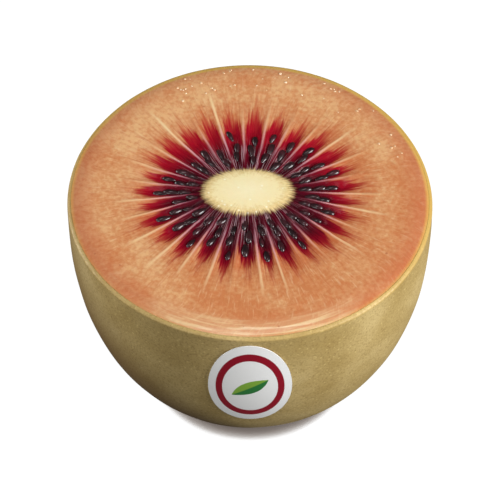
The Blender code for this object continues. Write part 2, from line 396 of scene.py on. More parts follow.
skin_finish, tree, shader = new_finish("kiwi_skin_waxy")
place = add(tree, "ShaderNodeTexCoord").outputs["Object"]
in_mm = add(tree, "ShaderNodeVectorMath", {"operation": "SCALE"}, {"Vector": place, "Scale": MM})
place_parts = add(tree, "ShaderNodeSeparateXYZ", {}, {0: in_mm})
height = place_parts.outputs["Z"]
blotch = add(tree, "ShaderNodeTexNoise", {}, {"Vector": in_mm, "Scale": 1 / BLOTCH_MM, "Detail": 3.0})
base = add(tree, "ShaderNodeValToRGB", {}, {"Fac": blotch}, stops=SKIN_TONES)
specks = add(tree, "ShaderNodeTexVoronoi", {}, {"Vector": in_mm, "Scale": 1 / SPECK_SPACING_MM})
speck = add(tree, "ShaderNodeMapRange", SOFT_STEP, {"Value": specks, **SPECK_FADE})
specked = add(tree, "ShaderNodeMix", COLOURS, {"Factor": speck, "A": base, "B": tone(SPECK_TONE)})
grain = add(tree, "ShaderNodeTexNoise", {}, {"Vector": in_mm, "Scale": 1 / GRAIN_MM, "Detail": 2.0})
grain_share = add(tree, "ShaderNodeMapRange", {}, {"Value": grain, **GRAIN_SPREAD})
grained = add(
    tree, "ShaderNodeMix", COLOURS, {"Factor": grain_share, "A": specked, "B": tone(GRAIN_TONE)}
)
print("skin colour from", len(tree.nodes), "nodes")

# %% Golden rim with painted light, and painted shade towards the foot of the skin
RIM_LOW_MM = CUT_Z * MM - 1.1
RIM_FULL_MM = CUT_Z * MM - 0.4
RIM_EVERYWHERE = 0.60
RIM_TO_BACK = 0.45 / (CUT_R * MM)
RIM_TO_RIGHT = 0.15 / (CUT_R * MM)
BROWN_AND_SHADE_TOP_MM = 10.0
BROWN_AND_SHADE_TO_LEFT = -1.30
BROWN_AND_SHADE_LEAST_MM = 7.0
BROWN_AND_SHADE_LOW_SHARE = 0.35
RIM_FADE = {"From Min": RIM_LOW_MM, "From Max": RIM_FULL_MM, "To Min": 0.0, "To Max": 0.95}
RIM_GLOW_TONE = "d2aa52"
BROWN_AND_SHADE_FADE = {"To Min": 0.85, "To Max": 0.0}
BROWN_AND_SHADE_TONE = "5c3d1a"
PORE_GRAIN = 0.6
PORE_STRENGTH = 0.35
PORE_DEPTH = 0.00006
SKIN_DULLNESS = {"From Min": 0.3, "From Max": 0.7, "To Min": 0.42, "To Max": 0.58}

# Painted light: the cut edge is mixed towards gold for light coming through from the wet flesh, more at
# the back and on the right.
rim_right = add(
    tree,
    "ShaderNodeMath",
    TIMES_PLUS,
    {0: place_parts.outputs["X"], 1: RIM_TO_RIGHT, 2: RIM_EVERYWHERE},
)
rim_here = add(
    tree,
    "ShaderNodeMath",
    {"operation": "MULTIPLY_ADD", "use_clamp": True},
    {0: place_parts.outputs["Y"], 1: RIM_TO_BACK, 2: rim_right},
)
rim_line = add(tree, "ShaderNodeMapRange", SOFT_STEP, {"Value": height, **RIM_FADE})
rim_glow = add(tree, "ShaderNodeMath", TIMES, {0: rim_line, 1: rim_here})
with_rim_glow = add(tree, "ShaderNodeMix", COLOURS, {"Factor": rim_glow, "A": grained, "B": tone(RIM_GLOW_TONE)})
# Painted shade: the skin turns brown towards the foot, and painted shade darkens it further, higher up on
# the left.
brown_and_shade_slant = add(
    tree, "ShaderNodeMath", TIMES_PLUS, {0: place_parts.outputs["X"], 1: BROWN_AND_SHADE_TO_LEFT, 2: BROWN_AND_SHADE_TOP_MM}
)
brown_and_shade_top = add(tree, "ShaderNodeMath", {"operation": "MAXIMUM"}, {0: brown_and_shade_slant, 1: BROWN_AND_SHADE_LEAST_MM})
brown_and_shade_low = add(tree, "ShaderNodeMath", TIMES, {0: brown_and_shade_top, 1: BROWN_AND_SHADE_LOW_SHARE})
brown_and_shade = add(
    tree,
    "ShaderNodeMapRange",
    SOFT_STEP,
    {"Value": height, "From Min": brown_and_shade_low, "From Max": brown_and_shade_top, **BROWN_AND_SHADE_FADE},
)
skin_colour = add(tree, "ShaderNodeMix", COLOURS, {"Factor": brown_and_shade, "A": with_rim_glow, "B": tone(BROWN_AND_SHADE_TONE)})
pores = add(tree, "ShaderNodeMath", TIMES_PLUS, {0: grain, 1: PORE_GRAIN, 2: specks})
dimples = add(
    tree, "ShaderNodeBump", {}, {"Strength": PORE_STRENGTH, "Distance": PORE_DEPTH, "Height": pores}
)
dullness = add(tree, "ShaderNodeMapRange", {}, {"Value": grain, **SKIN_DULLNESS})
tree.links.new(skin_colour.outputs["Result"], shader.inputs["Base Color"])
tree.links.new(dullness.outputs["Result"], shader.inputs["Roughness"])
tree.links.new(dimples.outputs["Normal"], shader.inputs["Normal"])
shader.inputs["IOR"].default_value = 1.45

skin = finish_piece("skin", skin_shape, skin_finish, "kiwi_half")
wall = skin.modifiers.new("thickness", "SOLIDIFY")
wall.thickness = SKIN_THICK
wall.offset = -1.0

# %% [markdown]
# Where the seeds lie
#
# The seeds come before the flesh, because the pulp rises a little round each of them. Each pocket has
# two or three, one behind the other in a slight zigzag, with their narrow ends towards the core. The
# places are drawn from one seeded stream, in the same order as on the solid, so that every seed covers
# its own relief.

# %% Seed places
SEED_LENGTH = 0.00205
SEED_WIDTH = 0.00088
SEED_TAPER = 0.5
SEED_SUNK = 0.00003
SEED_FIRST = 0.262
SEED_STEP = 0.078
SEED_STRAY = 0.014
SEED_ZIGZAG = 0.08
SEED_STRAY_ACROSS = 0.08
SEED_TURN = math.radians(14)
SEED_SIZES = (0.80, 1.10)
SEED_COUNTS = (2, 3, 3, 3)


def seed_places():
    """For each seed its centre, the angle of its long axis and its size."""
    draw = random.Random(RANDOM_SEED + 1)
    places = []
    for pocket in range(POCKETS):
        start = SEED_FIRST + (0.5 * SEED_STEP if pocket % 2 else 0.0)
        for i in range(draw.choice(SEED_COUNTS)):
            share = start + i * SEED_STEP + draw.uniform(-SEED_STRAY, SEED_STRAY)
            aside = SEED_ZIGZAG if (i + pocket) % 2 else -SEED_ZIGZAG
            across = 0.5 + aside + draw.uniform(-SEED_STRAY_ACROSS, SEED_STRAY_ACROSS)
            turn = draw.uniform(-SEED_TURN, SEED_TURN)
            size = draw.uniform(*SEED_SIZES)
            x, y = face_point(share, pocket_angle(pocket, across))
            z = CUT_Z + face_relief(share, across) - SEED_SUNK
            places.append((Vector((x, y, z)), math.atan2(y, x) + turn, size))
    return places


SEEDS = seed_places()
seed_finder = KDTree(len(SEEDS))
for number, (centre, angle, size) in enumerate(SEEDS):
    seed_finder.insert((centre.x, centre.y, 0.0), number)
seed_finder.balance()
print(len(SEEDS), "seeds")

# %% [markdown]
# The flesh
#
# The flesh is the body inside the skin, and its cut face is what the eye goes to. Its outline is spun
# in twelve columns for each pocket, with rings under a fifth of a millimetre apart in the pockets. Then
# each point of the cut moves to its place in the pattern and takes its height. On top of the broad
# relief, the walls stand up as thin ridges, the pulp rises round each seed and the rest is slightly
# rough. The walls also wander a little sideways.
#
# Each point keeps a vector named rays: the cosine and sine of its way round, and its share of the way
# out. The finish reads its pattern from that, so colour and relief can't part, however the walls
# wander.

# %% Fine relief of the flesh
WALL_RISE = 0.00007
WALL_HALF = 0.00015
WALL_WANDER = 0.007
PULP_RIM_RISE = 0.00008
PULP_RIM_AT = 1.30
PULP_RIM_WIDTH = 0.28
ROUGH_RISE = 0.00003
ROUGH_SPAN = 0.0009
FIBRE_RISE = 0.00002
RIDGE_STARTS = (0.21, 0.27)
RIDGE_ENDS = (0.62, 0.78)
FIBRES_ROUND = 48
FIBRES_OUT = 9
FIBRES_START = (0.5, 0.7)
CALM_BY_SKIN = (0.90, 0.96)


def wall_ridge(share, across):
    """Height of the thin wall between two pockets."""
    away = min(across, 1 - across) * 2 * math.pi * CUT_R * share / POCKETS
    along = smooth(*RIDGE_STARTS, share) * (1 - smooth(*RIDGE_ENDS, share))
    return WALL_RISE * along * math.exp(-((away / WALL_HALF) ** 2))


def pulp_rim(x, y):
    """Height of the pulp that rises round the nearest seed."""
    centre, angle, size = SEEDS[seed_finder.find((x, y, 0.0))[1]]
    along = (x - centre.x) * math.cos(angle) + (y - centre.y) * math.sin(angle)
    aside = (y - centre.y) * math.cos(angle) - (x - centre.x) * math.sin(angle)
    out = math.hypot(2 * along / (SEED_LENGTH * size), 2 * aside / (SEED_WIDTH * size))
    return PULP_RIM_RISE * math.exp(-(((out - PULP_RIM_AT) / PULP_RIM_WIDTH) ** 2))


def fine_relief(x, y, share, across, turn):
    """Everything finer than the broad relief of the cut."""
    height = wall_ridge(share, across) + pulp_rim(x, y)
    height += ROUGH_RISE * noise.noise(Vector((x, y, 0.0)) / ROUGH_SPAN)
    fibre_place = (FIBRES_ROUND * math.cos(turn), FIBRES_ROUND * math.sin(turn), FIBRES_OUT * share)
    fibre = noise.noise(Vector(fibre_place))
    height += FIBRE_RISE * fibre * smooth(*FIBRES_START, share)
    return height * (1 - smooth(*CALM_BY_SKIN, share))


print("walls", WALL_HALF * 2 * MM, "mm thick, standing", WALL_RISE * MM, "mm up")

# %% Flesh shape
COLUMN_STEPS = 12
FLESH_COLUMNS = POCKETS * COLUMN_STEPS
CORE_RINGS = 10
POCKET_RINGS = 66
FLESH_RINGS = 22
LIP_RINGS = 10
POCKET_PATTERN_END = 0.72
SKIN_GAP = 0.00001
FLESH_FLOOR = 0.0030
FLESH_INSET = 1.5 * SKIN_THICK
BELLY_RINGS = 14
WANDERS_ROUND = 9
WANDERS_OUT = 7
WANDER_STARTS = (0.15, 0.3)
WANDER_ENDS = (0.8, 0.95)


def flesh_outline():
    """The cut from its middle to the skin, then down inside the skin and back to the axis."""
    flat_end = CUT_R - LIP_WIDTH
    edge = CUT_R - SKIN_THICK - SKIN_GAP
    shares = [0.0] + steps(0.0, CORE_SHARE, CORE_RINGS)
    shares += steps(CORE_SHARE, POCKET_PATTERN_END, POCKET_RINGS)
    shares += steps(POCKET_PATTERN_END, flat_end / CUT_R, FLESH_RINGS)
    radii = [share * CUT_R for share in shares] + steps(flat_end, edge, LIP_RINGS)
    points = [(radius, CUT_Z - lip_fall(radius)) for radius in radii]
    belly_r = EQUATOR_R - FLESH_INSET
    belly_length = HALF_LENGTH - FLESH_INSET
    floor_turn = ((EQUATOR_Z - FLESH_FLOOR) / belly_length) ** (BLUNTNESS / 2)
    for turn in [0.0] + steps(0.0, math.asin(floor_turn), BELLY_RINGS):
        radius = belly_r * math.cos(turn) ** (2 / BLUNTNESS)
        height = EQUATOR_Z - belly_length * math.sin(turn) ** (2 / BLUNTNESS)
        points.append((radius, height))
    return points + [(0.0, FLESH_FLOOR)]


flesh_shape = spun(flesh_outline(), FLESH_COLUMNS)
rays_layer = flesh_shape.verts.layers.float_vector.new("rays")
for vertex in flesh_shape.verts:
    x, y, z = vertex.co
    share = min(1.0, math.hypot(x, y) / CUT_R)
    column = round(math.atan2(y, x) / (2 * math.pi) * FLESH_COLUMNS) % FLESH_COLUMNS
    even = 2 * math.pi * column / FLESH_COLUMNS
    pole = 0.0 if share == 0 else 1.0
    ray = Vector((pole * math.cos(even), pole * math.sin(even), share))
    if z > CUT_Z - LIP_DROP:
        pocket, step = divmod(column, COLUMN_STEPS)
        across = step / COLUMN_STEPS
        angle = pocket_angle(pocket, across)
        angle += (even - angle) * smooth(ROUND_FROM, 1.0, share)
        wander_place = (WANDERS_ROUND * ray.x, WANDERS_ROUND * ray.y, WANDERS_OUT * share)
        wander = WALL_WANDER * noise.noise(Vector(wander_place))
        angle += wander * smooth(*WANDER_STARTS, share) * (1 - smooth(*WANDER_ENDS, share))
        x, y = face_point(share, angle)
        z += face_relief(share, across) + fine_relief(x, y, share, across, even)
    vertex[rays_layer] = ray
    vertex.co = swollen(x, y, z, even)
print("flesh outline of", len(flesh_outline()), "points, spun in", FLESH_COLUMNS, "columns")

# %% [markdown]
# Finish of the flesh: where a point lies
#
# Wet fruit flesh is a clear jelly full of colour, so the finish is a Principled shader with a short
# reach of light under the surface and a thin wet coat. The colour is worked out in steps. The first
# step turns the rays vector into a pocket's number, the place across it, and the gap to its wall in
# millimetres. A white noise of the pocket's number gives each pocket its own chance, for the length and
# depth of its red.

# %% Pocket, place across it and gap to its wall
HALF_POCKET_MM = math.pi * CUT_R * MM / POCKETS

flesh_finish, tree, shader = new_finish("kiwi_flesh_wet")
place = add(tree, "ShaderNodeTexCoord").outputs["Object"]
in_mm = add(tree, "ShaderNodeVectorMath", {"operation": "SCALE"}, {"Vector": place, "Scale": MM})
rays = add(tree, "ShaderNodeAttribute", {"attribute_name": "rays"}).outputs["Vector"]
split = add(tree, "ShaderNodeSeparateXYZ", {}, {0: rays})
share = split.outputs["Z"]
turn = add(
    tree, "ShaderNodeMath", {"operation": "ARCTAN2"}, {0: split.outputs["Y"], 1: split.outputs["X"]}
)
pockets_round = add(tree, "ShaderNodeMath", TIMES, {0: turn, 1: POCKETS / (2 * math.pi)})
whole = add(tree, "ShaderNodeMath", {"operation": "FLOOR"}, {0: pockets_round})
pocket = add(tree, "ShaderNodeMath", {"operation": "FLOORED_MODULO"}, {0: whole, 1: POCKETS})
chance = add(tree, "ShaderNodeTexWhiteNoise", {"noise_dimensions": "1D"}, {"W": pocket})
across = add(tree, "ShaderNodeMath", {"operation": "FRACT"}, {0: pockets_round})
from_middle = add(tree, "ShaderNodeMath", TIMES_PLUS, {0: across, 1: 2.0, 2: -1.0})
off_middle = add(tree, "ShaderNodeMath", {"operation": "ABSOLUTE"}, {0: from_middle})
to_wall = add(tree, "ShaderNodeMath", MINUS, {0: 1.0, 1: off_middle})
half_pocket = add(tree, "ShaderNodeMath", TIMES, {0: share, 1: HALF_POCKET_MM})
wall_gap = add(tree, "ShaderNodeMath", TIMES, {0: to_wall, 1: half_pocket})
print("a pocket at the skin would be", round(2 * HALF_POCKET_MM, 1), "mm wide")

# %% [markdown]
# Streaks and outer flesh
#
# All the grain of a kiwi runs outwards. A noise on the rays vector, with its circle scaled up far more
# than its share, is drawn out along the radius, and it closes on itself all the way round. One such
# noise frays the red rays and darkens the flesh in streaks, and a finer one makes a few pale flecks.
# Under them the flesh is salmon orange, mottled by patches a few millimetres wide and by a grain of
# half a millimetre. From here on each mix lays one more colour over those before it.

# %% Streaks and outer flesh
FRAY_GRAIN = (55.0, 55.0, 9.0)
FLECK_GRAIN = (62.0, 62.0, 13.0)
PATCH_MM = 4.5
MOTTLE_MM = 0.50
REDDER_TOWARDS = (-0.035, 0.065, 0.0)
PATCH_SHARE = 0.5
MOTTLE_SHARE = 0.5
FLESH_TONES = [(0.36, "c97f50"), (0.50, "d29464"), (0.64, "deae7c")]
FLECK_SPREAD = {"From Min": 0.56, "From Max": 0.76, "To Min": 0.0, "To Max": 0.38}
FLECK_TONE = "e8c598"
DARK_SPREAD = {"From Min": 0.50, "From Max": 0.30, "To Min": 0.0, "To Max": 0.14}
DARK_TONE = "c47445"

fray_place = add(tree, "ShaderNodeVectorMath", TIMES, {0: rays, 1: FRAY_GRAIN})
fray = add(tree, "ShaderNodeTexNoise", {}, {"Vector": fray_place, "Scale": 1.0, "Detail": 3.0})
fleck_place = add(tree, "ShaderNodeVectorMath", TIMES, {0: rays, 1: FLECK_GRAIN})
fleck = add(tree, "ShaderNodeTexNoise", {}, {"Vector": fleck_place, "Scale": 1.0, "Detail": 2.0})
patch = add(tree, "ShaderNodeTexNoise", {}, {"Vector": in_mm, "Scale": 1 / PATCH_MM, "Detail": 3.0})
mottle = add(tree, "ShaderNodeTexNoise", {}, {"Vector": in_mm, "Scale": 1 / MOTTLE_MM, "Detail": 3.0})
half_patch = add(tree, "ShaderNodeMath", TIMES, {0: patch, 1: PATCH_SHARE})
to_front = add(tree, "ShaderNodeVectorMath", {"operation": "DOT_PRODUCT"}, {0: rays, 1: REDDER_TOWARDS})
redder = add(tree, "ShaderNodeMath", PLUS, {0: half_patch, 1: to_front.outputs["Value"]})
mixed = add(tree, "ShaderNodeMath", TIMES_PLUS, {0: mottle, 1: MOTTLE_SHARE, 2: redder})
flesh_base = add(tree, "ShaderNodeValToRGB", {}, {"Fac": mixed}, stops=FLESH_TONES)
fleck_share = add(tree, "ShaderNodeMapRange", SOFT_STEP, {"Value": fleck, **FLECK_SPREAD})
flecked = add(
    tree, "ShaderNodeMix", COLOURS, {"Factor": fleck_share, "A": flesh_base, "B": tone(FLECK_TONE)}
)
dark_share = add(tree, "ShaderNodeMapRange", SOFT_STEP, {"Value": fray, **DARK_SPREAD})
streaked = add(
    tree, "ShaderNodeMix", COLOURS, {"Factor": dark_share, "A": flecked, "B": tone(DARK_TONE)}
)
print("flesh mottled by", PATCH_MM, "and", MOTTLE_MM, "mm")

# %% [markdown]
# The red rays
#
# The red is densest round the core, where it fills each pocket from wall to wall. Further out a ray
# narrows to a ragged tip at a length of its own, longest at the back. How far along its ray a point
# lies is its share of the way from the core to that tip. The ray's half width falls off with a power of
# that, and the edge is a soft step where the place across the pocket passes it. The colour runs along
# the ray too, from dark maroon through crimson to rust, and fine streaks move it a little to and fro. A
# nearly black heart lies where the seeds are, and a rust red blush round the tips.

# %% Red rays
RAY_REACH = 0.665
RAY_RAGGED = 0.16
RAY_REACH_BACK = 0.020
RAY_REACH_CHANCE = 0.050
RAY_BLUNTNESS = 2.7
RAY_FRAY = 0.55
RAY_FULL_AT_CORE = 0.45
RAY_DARK_FRONT = 0.14
STREAK_GRAIN = (95.0, 95.0, 7.0)
FULL_AT_CORE_FADE = {"From Min": 0.24, "From Max": 0.42, "To Min": RAY_FULL_AT_CORE, "To Max": 0.0}
RAY_EDGE_FADE = {"From Min": 0.19, "From Max": 0.66, "To Min": 1.0, "To Max": 0.0}
RAY_END_FADE = {"From Min": 0.74, "From Max": 1.28, "To Min": 1.0, "To Max": 0.0}
RAY_STREAKY = 0.40
RAY_STRETCH = 0.85
RAY_TONES = [
    (0.00, "54061a"),
    (0.18, "5e061a"),
    (0.33, "6e061b"),
    (0.46, "8a0a1e"),
    (0.62, "9a0e21"),
    (0.73, "a42026"),
    (0.83, "b04532"),
    (0.95, "c26a42"),
]
HEART_FADE = {"From Min": 0.20, "From Max": 0.74, "To Min": 0.92, "To Max": 0.0}
HEART_TONE = "32070f"
BLUSH_FADE = {"From Min": 0.80, "From Max": 1.30, "To Min": 1.0, "To Max": 0.0}
BLUSH_TONE = "b2502e"

reach_here = add(
    tree, "ShaderNodeMath", TIMES_PLUS, {0: split.outputs["Y"], 1: RAY_REACH_BACK, 2: RAY_REACH}
)
reach = add(tree, "ShaderNodeMath", TIMES_PLUS, {0: chance, 1: RAY_REACH_CHANCE, 2: reach_here})
ragged_reach = add(tree, "ShaderNodeMath", TIMES_PLUS, {0: fray, 1: -RAY_RAGGED, 2: reach})
along = add(
    tree,
    "ShaderNodeMapRange",
    {"clamp": False},
    {"Value": share, "From Min": CORE_SHARE, "From Max": ragged_reach, "To Min": 0.0, "To Max": 1.0},
)
taper = add(tree, "ShaderNodeMath", {"operation": "POWER"}, {0: along, 1: RAY_BLUNTNESS})
thin_ray = add(tree, "ShaderNodeMath", {"operation": "SUBTRACT", "use_clamp": True}, {0: 1.0, 1: taper})
full_at_core = add(tree, "ShaderNodeMapRange", SOFT_STEP, {"Value": share, **FULL_AT_CORE_FADE})
half_ray = add(tree, "ShaderNodeMath", PLUS, {0: thin_ray, 1: full_at_core})
frayed = add(tree, "ShaderNodeMath", TIMES_PLUS, {0: fray, 1: RAY_FRAY, 2: off_middle})
past_edge = add(tree, "ShaderNodeMath", MINUS, {0: frayed, 1: half_ray})
in_ray = add(tree, "ShaderNodeMapRange", SOFT_STEP, {"Value": past_edge, **RAY_EDGE_FADE})
fade = add(tree, "ShaderNodeMapRange", SOFT_STEP, {"Value": along, **RAY_END_FADE})
redness = add(tree, "ShaderNodeMath", TIMES, {0: in_ray, 1: fade})
streak_place = add(tree, "ShaderNodeVectorMath", TIMES, {0: rays, 1: STREAK_GRAIN})
streak = add(tree, "ShaderNodeTexNoise", {}, {"Vector": streak_place, "Scale": 1.0, "Detail": 2.0})
streaky = add(tree, "ShaderNodeMath", TIMES_PLUS, {0: streak, 1: RAY_STREAKY, 2: -RAY_STREAKY / 2})
ray_front = add(
    tree,
    "ShaderNodeMath",
    TIMES_PLUS,
    {0: split.outputs["Y"], 1: RAY_DARK_FRONT, 2: -RAY_DARK_FRONT / 2},
)
ray_deep = add(tree, "ShaderNodeMath", PLUS, {0: ray_front, 1: streaky})
ray_place = add(tree, "ShaderNodeMath", TIMES_PLUS, {0: along, 1: RAY_STRETCH, 2: ray_deep})
ray_colour = add(tree, "ShaderNodeValToRGB", {}, {"Fac": ray_place}, stops=RAY_TONES)
heart_place = add(tree, "ShaderNodeMath", PLUS, {0: along, 1: ray_front})
heart_long = add(tree, "ShaderNodeMapRange", SOFT_STEP, {"Value": heart_place, **HEART_FADE})
heart = add(tree, "ShaderNodeMath", TIMES, {0: to_wall, 1: heart_long})
deep_ray = add(
    tree, "ShaderNodeMix", COLOURS, {"Factor": heart, "A": ray_colour, "B": tone(HEART_TONE)}
)
blush_long = add(tree, "ShaderNodeMapRange", SOFT_STEP, {"Value": along, **BLUSH_FADE})
blush_share = add(tree, "ShaderNodeMath", TIMES, {0: blush_long, 1: streak})
blushed = add(
    tree, "ShaderNodeMix", COLOURS, {"Factor": blush_share, "A": streaked, "B": tone(BLUSH_TONE)}
)
with_rays = add(tree, "ShaderNodeMix", COLOURS, {"Factor": redness, "A": blushed, "B": deep_ray})
longest = RAY_REACH + RAY_REACH_CHANCE + RAY_REACH_BACK - RAY_RAGGED / 2
print("rays reach", round(RAY_REACH - RAY_RAGGED / 2, 2), "to", round(longest, 2), "of the radius")

# %% [markdown]
# The walls and the core
#
# The walls are the palest lines of the cut: greyish pink between the red pockets, where colour has bled
# into them, and cream beyond, where they fade out at lengths of their own. Some are strong and some
# hardly show, and those in front are weaker. Each wall's number comes from rounding where the pocket's
# came from its floor. Short hairs of the same pale tissue stand in front of the core and behind it,
# between the first seeds. The core is a dense cream pith with a frayed edge and small white painted
# glints of its wet surface.

# %% Walls
WALL_CHANCE_ROW = 7.0
WALL_END_TO_BACK = 0.05
WALL_END = 0.60
WALL_END_CHANCE = 0.24
WALL_FADE_LENGTH = 0.20
WALL_LINE_WIDER_MM = 0.34
WALL_LINE_MM = 0.06
WALL_EDGE_FADE = {"From Min": 0.02, "To Min": 1.0, "To Max": 0.0}
WALL_START_FADE = {"From Min": 0.23, "From Max": 0.40, "To Min": 0.05, "To Max": 1.0}
WALL_PALE_TO_BACK = 0.12
WALL_PALE = 0.40
WALL_PALE_CHANCE = 0.50
WALL_TONES = [(0.22, "7d4450"), (0.34, "bd8490"), (0.46, "dda0a0"), (0.57, "ecc494"), (0.72, "efd5a4")]

nearest = add(tree, "ShaderNodeMath", {"operation": "ROUND"}, {0: pockets_round})
wall_number = add(tree, "ShaderNodeMath", {"operation": "FLOORED_MODULO"}, {0: nearest, 1: POCKETS})
wall_pair = add(tree, "ShaderNodeCombineXYZ", {}, {"X": wall_number, "Y": WALL_CHANCE_ROW})
wall_chance = add(tree, "ShaderNodeTexWhiteNoise", {"noise_dimensions": "2D"}, {"Vector": wall_pair})
wall_reach = add(
    tree, "ShaderNodeMath", TIMES_PLUS, {0: split.outputs["Y"], 1: WALL_END_TO_BACK, 2: WALL_END}
)
wall_end = add(tree, "ShaderNodeMath", TIMES_PLUS, {0: wall_chance, 1: WALL_END_CHANCE, 2: wall_reach})
wall_fades = add(tree, "ShaderNodeMath", MINUS, {0: wall_end, 1: WALL_FADE_LENGTH})
wall_half = add(tree, "ShaderNodeMath", TIMES_PLUS, {0: share, 1: WALL_LINE_WIDER_MM, 2: WALL_LINE_MM})
on_wall = add(
    tree, "ShaderNodeMapRange", SOFT_STEP, {"Value": wall_gap, "From Max": wall_half, **WALL_EDGE_FADE}
)
wall_starts = add(tree, "ShaderNodeMapRange", SOFT_STEP, {"Value": share, **WALL_START_FADE})
wall_stops = add(
    tree,
    "ShaderNodeMapRange",
    SOFT_STEP,
    {"Value": share, "From Min": wall_fades, "From Max": wall_end, "To Min": 1.0, "To Max": 0.0},
)
wall_long = add(tree, "ShaderNodeMath", TIMES, {0: wall_starts, 1: wall_stops})
wall_behind = add(
    tree, "ShaderNodeMath", TIMES_PLUS, {0: split.outputs["Y"], 1: WALL_PALE_TO_BACK, 2: WALL_PALE}
)
wall_pale = add(
    tree, "ShaderNodeMath", TIMES_PLUS, {0: wall_chance, 1: WALL_PALE_CHANCE, 2: wall_behind}
)
wall_share = add(tree, "ShaderNodeMath", TIMES, {0: on_wall, 1: wall_long})
wall_shows = add(tree, "ShaderNodeMath", TIMES, {0: wall_share, 1: wall_pale})
wall_colour = add(tree, "ShaderNodeValToRGB", {}, {"Fac": share}, stops=WALL_TONES)
with_walls = add(
    tree, "ShaderNodeMix", COLOURS, {"Factor": wall_shows, "A": with_rays, "B": wall_colour}
)
shortest = WALL_END - WALL_END_TO_BACK
longest = WALL_END + WALL_END_TO_BACK + WALL_END_CHANCE
print("walls fade out between", round(shortest, 2), "and", round(longest, 2), "of the radius")

# %% Hairs round the core
HAIR_GRAIN = (80.0, 80.0, 5.0)
HAIR_SPREAD = {"From Min": 0.54, "From Max": 0.64, "To Min": 0.0, "To Max": 0.75}
HAIR_END_FADE = {"From Min": 0.27, "From Max": 0.46, "To Min": 1.0, "To Max": 0.0}
HAIR_TONE = "c3a0a6"

hair_place = add(tree, "ShaderNodeVectorMath", TIMES, {0: rays, 1: HAIR_GRAIN})
hair = add(tree, "ShaderNodeTexNoise", {}, {"Vector": hair_place, "Scale": 1.0, "Detail": 1.0})
on_hair = add(tree, "ShaderNodeMapRange", SOFT_STEP, {"Value": hair, **HAIR_SPREAD})
hair_ends = add(tree, "ShaderNodeMapRange", SOFT_STEP, {"Value": share, **HAIR_END_FADE})
front_or_back = add(tree, "ShaderNodeMath", TIMES, {0: split.outputs["Y"], 1: split.outputs["Y"]})
hair_long = add(tree, "ShaderNodeMath", TIMES, {0: hair_ends, 1: front_or_back})
hair_shows = add(tree, "ShaderNodeMath", TIMES, {0: on_hair, 1: hair_long})
with_hairs = add(
    tree, "ShaderNodeMix", COLOURS, {"Factor": hair_shows, "A": with_walls, "B": tone(HAIR_TONE)}
)
print("hairs fade out by", HAIR_END_FADE["From Max"], "of the radius")

# %% Core
CORE_GRAIN = (26.0, 26.0, 5.0)
GLINT_SPACING_MM = 1.2
CORE_RAGGED = 0.07
CORE_EDGE_FADE = {
    "From Min": CORE_SHARE + 0.010,
    "From Max": CORE_SHARE + 0.050,
    "To Min": 1.0,
    "To Max": 0.0,
}
PITH_PER_MM = 2.6
PITH_MOTTLE = 0.10
CORE_TONES = [(0.00, "f4e8bd"), (0.12, "f1e1ae"), (0.17, "dfc68c"), (0.21, "b9985f")]
GLINT_FADE = {"From Min": 0.07, "From Max": 0.16, "To Min": 0.7, "To Max": 0.0}
GLINT_TONE = "fbf6dc"

core_grain = add(tree, "ShaderNodeVectorMath", TIMES, {0: rays, 1: CORE_GRAIN})
core_fray = add(tree, "ShaderNodeTexNoise", {}, {"Vector": core_grain, "Scale": 1.0, "Detail": 2.0})
core_place = add(tree, "ShaderNodeMath", TIMES_PLUS, {0: core_fray, 1: CORE_RAGGED, 2: share})
in_core = add(tree, "ShaderNodeMapRange", SOFT_STEP, {"Value": core_place, **CORE_EDGE_FADE})
pith = add(tree, "ShaderNodeTexNoise", {}, {"Vector": in_mm, "Scale": PITH_PER_MM, "Detail": 3.0})
pith_place = add(tree, "ShaderNodeMath", TIMES_PLUS, {0: pith, 1: -PITH_MOTTLE, 2: core_place})
core_colour = add(tree, "ShaderNodeValToRGB", {}, {"Fac": pith_place}, stops=CORE_TONES)
# Painted highlight: small white glints of the wet core, drawn as Voronoi spots in its colour.
painted_glints = add(tree, "ShaderNodeTexVoronoi", {}, {"Vector": in_mm, "Scale": 1 / GLINT_SPACING_MM})
glint_share = add(tree, "ShaderNodeMapRange", {}, {"Value": painted_glints, **GLINT_FADE})
core_with_glints = add(
    tree, "ShaderNodeMix", COLOURS, {"Factor": glint_share, "A": core_colour, "B": tone(GLINT_TONE)}
)
with_core = add(tree, "ShaderNodeMix", COLOURS, {"Factor": in_core, "A": with_hairs, "B": core_with_glints})
print("core", round(2 * CORE_LONG * CUT_R * MM, 1), "by", round(2 * CORE_SHORT * CUT_R * MM, 1), "mm")

# %% [markdown]
# Towards the skin
#
# The last few millimetres before the skin are redder than the rest, most of all on the left and the
# right. The wet lip in front has a painted highlight instead, in pale streaks that run along it. Outside
# the rays the flesh has rust red dots, which are points of a Voronoi pattern, most of them dropped by
# the pattern's own random colour. Last comes the golden line of the skin itself. It is strongest at the
# back and on the right and hardly shows at the front. How golden a place is comes from the cosine and
# sine in the rays vector.

